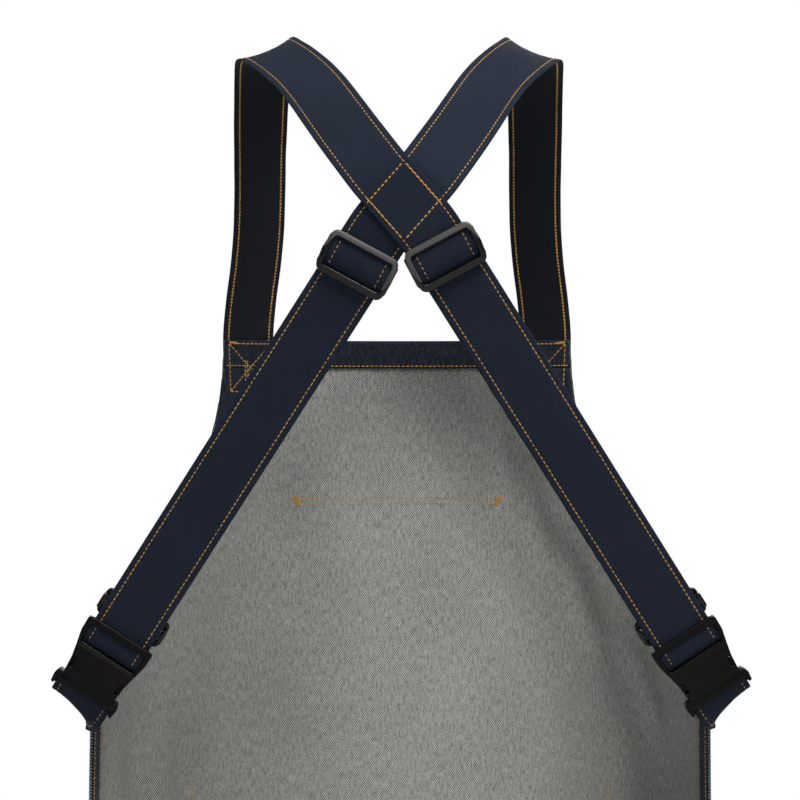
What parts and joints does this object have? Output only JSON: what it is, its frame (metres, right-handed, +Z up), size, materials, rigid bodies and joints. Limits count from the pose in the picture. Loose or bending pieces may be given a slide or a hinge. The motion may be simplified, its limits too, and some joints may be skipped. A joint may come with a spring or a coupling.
{
  "type": "apron",
  "caption": "Cross-back denim work apron with shoulder straps that cross behind, sliding strap adjusters, side-release buckles and a front pocket.",
  "frame": {"origin": "midway between the tops of the two shoulder straps", "axes": "+Z up, -Y towards the wearer's back, +X towards the wearer's right-hand side"},
  "size_m": [0.4328, 0.2815, 1.0316],
  "materials": {
    "denim": "indigo twill outside, undyed grey weft inside",
    "hem_denim": "indigo twill, turned to the inside and topstitched in gold",
    "pocket_denim": "indigo twill with gold topstitching",
    "strap_cloth": "navy woven cotton strap, gold topstitching near both edges",
    "slider_metal": "dark gunmetal, satin above and glossy below",
    "keeper_metal": "dark gunmetal",
    "buckle_plastic": "dark brown-black moulded plastic, softly polished edges"
  },
  "bodies": {
    "root": {"apron_panel": "denim", "bib_top_hem": "hem_denim", "bottom_hem": "hem_denim", "front_pocket": "pocket_denim", "armhole_facing_left": "hem_denim", "side_hem_left": "hem_denim", "shoulder_strap_left": "strap_cloth", "lower_strap_left": "strap_cloth", "buckle_plug_left": "buckle_plastic", "side_tab_left": "strap_cloth", "armhole_facing_right": "hem_denim", "side_hem_right": "hem_denim", "shoulder_strap_right": "strap_cloth", "lower_strap_right": "strap_cloth", "buckle_plug_right": "buckle_plastic", "side_tab_right": "strap_cloth"},
    "slider_left": {"strap_slider_left": "slider_metal"},
    "socket_left": {"buckle_socket_left": "buckle_plastic"},
    "keeper_left": {"keeper_slider_left": "keeper_metal"},
    "prong_left_inner": {"buckle_prong_left_inner": "buckle_plastic"},
    "prong_left_outer": {"buckle_prong_left_outer": "buckle_plastic"},
    "slider_right": {"strap_slider_right": "slider_metal"},
    "socket_right": {"buckle_socket_right": "buckle_plastic"},
    "keeper_right": {"keeper_slider_right": "keeper_metal"},
    "prong_right_inner": {"buckle_prong_right_inner": "buckle_plastic"},
    "prong_right_outer": {"buckle_prong_right_outer": "buckle_plastic"}
  },
  "joints": [
    {"name": "slider_slide_left", "type": "slide", "parent": "root", "child": "slider_left", "axis": [-0.5318, 0.1838, -0.8267], "range_m": [0, 0.1], "deforming": ["lower_strap_left"]},
    {"name": "socket_release_left", "type": "slide", "parent": "root", "child": "socket_left", "axis": [0.5318, -0.1838, 0.8267], "range_m": [0, 0.028], "deforming": ["lower_strap_left", "buckle_prong_left_inner", "buckle_prong_left_outer"]},
    {"name": "keeper_slide_left", "type": "slide", "parent": "socket_left", "child": "keeper_left", "axis": [0.5318, -0.1838, 0.8267], "range_m": [0, 0.025]},
    {"name": "prong_squeeze_left_inner", "type": "hinge", "parent": "root", "child": "prong_left_inner", "pos_m": [-0.17982, -0.0826, -0.40383], "axis": [-0.0994, -0.983, -0.1546], "range_deg": [0, 18], "stiffness_Nm_per_rad": 0.1},
    {"name": "prong_squeeze_left_outer", "type": "hinge", "parent": "root", "child": "prong_left_outer", "pos_m": [-0.20135, -0.0826, -0.38998], "axis": [0.0994, 0.983, 0.1546], "range_deg": [0, 18], "stiffness_Nm_per_rad": 0.1},
    {"name": "slider_slide_right", "type": "slide", "parent": "root", "child": "slider_right", "axis": [0.5318, 0.1838, -0.8267], "range_m": [0, 0.1], "deforming": ["lower_strap_right"]},
    {"name": "socket_release_right", "type": "slide", "parent": "root", "child": "socket_right", "axis": [-0.5318, -0.1838, 0.8267], "range_m": [0, 0.028], "deforming": ["lower_strap_right", "buckle_prong_right_inner", "buckle_prong_right_outer"]},
    {"name": "keeper_slide_right", "type": "slide", "parent": "socket_right", "child": "keeper_right", "axis": [-0.5318, -0.1838, 0.8267], "range_m": [0, 0.025]},
    {"name": "prong_squeeze_right_inner", "type": "hinge", "parent": "root", "child": "prong_right_inner", "pos_m": [0.17982, -0.085, -0.40383], "axis": [-0.0994, 0.983, 0.1546], "range_deg": [0, 18], "stiffness_Nm_per_rad": 0.1},
    {"name": "prong_squeeze_right_outer", "type": "hinge", "parent": "root", "child": "prong_right_outer", "pos_m": [0.20135, -0.085, -0.38998], "axis": [0.0994, -0.983, -0.1546], "range_deg": [0, 18], "stiffness_Nm_per_rad": 0.1}
  ],
  "couplings": [
    {"joint": "prong_squeeze_left_outer", "follows": "prong_squeeze_left_inner", "ratio": 1},
    {"joint": "prong_squeeze_right_outer", "follows": "prong_squeeze_right_inner", "ratio": 1}
  ]
}
